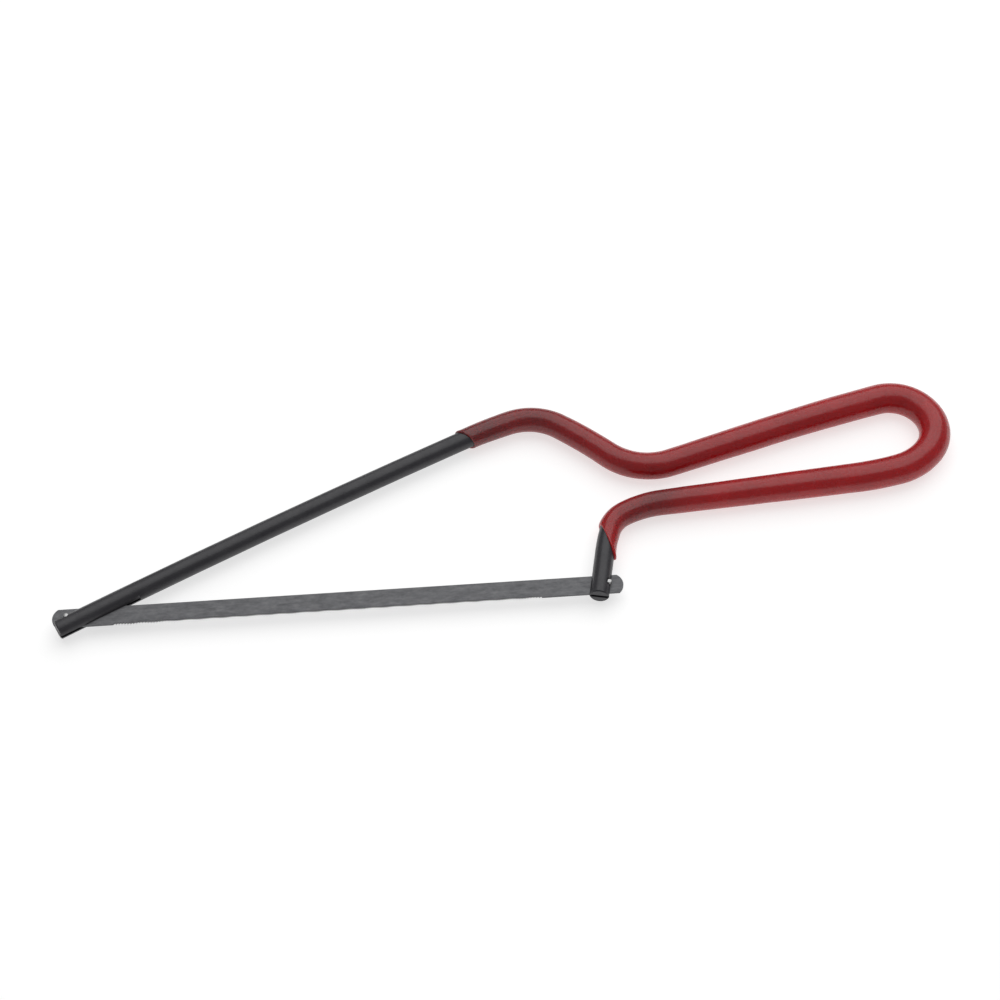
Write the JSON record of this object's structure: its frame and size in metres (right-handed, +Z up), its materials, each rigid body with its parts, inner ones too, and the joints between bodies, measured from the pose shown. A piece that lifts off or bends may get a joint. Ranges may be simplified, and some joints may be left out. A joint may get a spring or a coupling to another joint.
{
  "type": "junior hacksaw",
  "caption": "Small hacksaw with a one-piece bent spring-bar frame, a dipped soft-plastic loop grip and a pinned fine-tooth blade held under tension.",
  "frame": {"origin": "bottom centre of the box of the whole saw, lying flat", "axes": "+X along the blade from the front to the handle, +Y from the teeth to the back of the saw, +Z up, across the saw's plane"},
  "size_m": [0.259, 0.0696, 0.0092],
  "materials": {
    "frame_paint": "satin black paint",
    "grip_plastic": "semi-gloss red dipped soft plastic",
    "blade_steel": "dark tempered steel, slightly mottled",
    "pin_steel": "bright drawn steel"
  },
  "bodies": {
    "frame": {"frame_bow": "frame_paint", "grip_upper": "grip_plastic"},
    "rear_arm": {"frame_arm": "frame_paint", "grip_lower": "grip_plastic"},
    "blade": {"blade": "blade_steel", "front_pin": "pin_steel", "rear_pin": "pin_steel"}
  },
  "joints": [
    {"name": "handle_squeeze", "type": "hinge", "parent": "frame", "child": "rear_arm", "pos_m": [0.12489, 0.0183, 0.0046], "axis": [0, 0, -1], "range_deg": [0, 3.5], "stiffness_Nm_per_rad": 20},
    {"name": "blade_swing", "type": "hinge", "parent": "frame", "child": "blade", "pos_m": [-0.12553, -0.02883, 0.0046], "axis": [0, 0, 1], "range_deg": [0, 2.4]}
  ],
  "couplings": [
    {"joint": "blade_swing", "follows": "handle_squeeze", "ratio": 0.675}
  ]
}
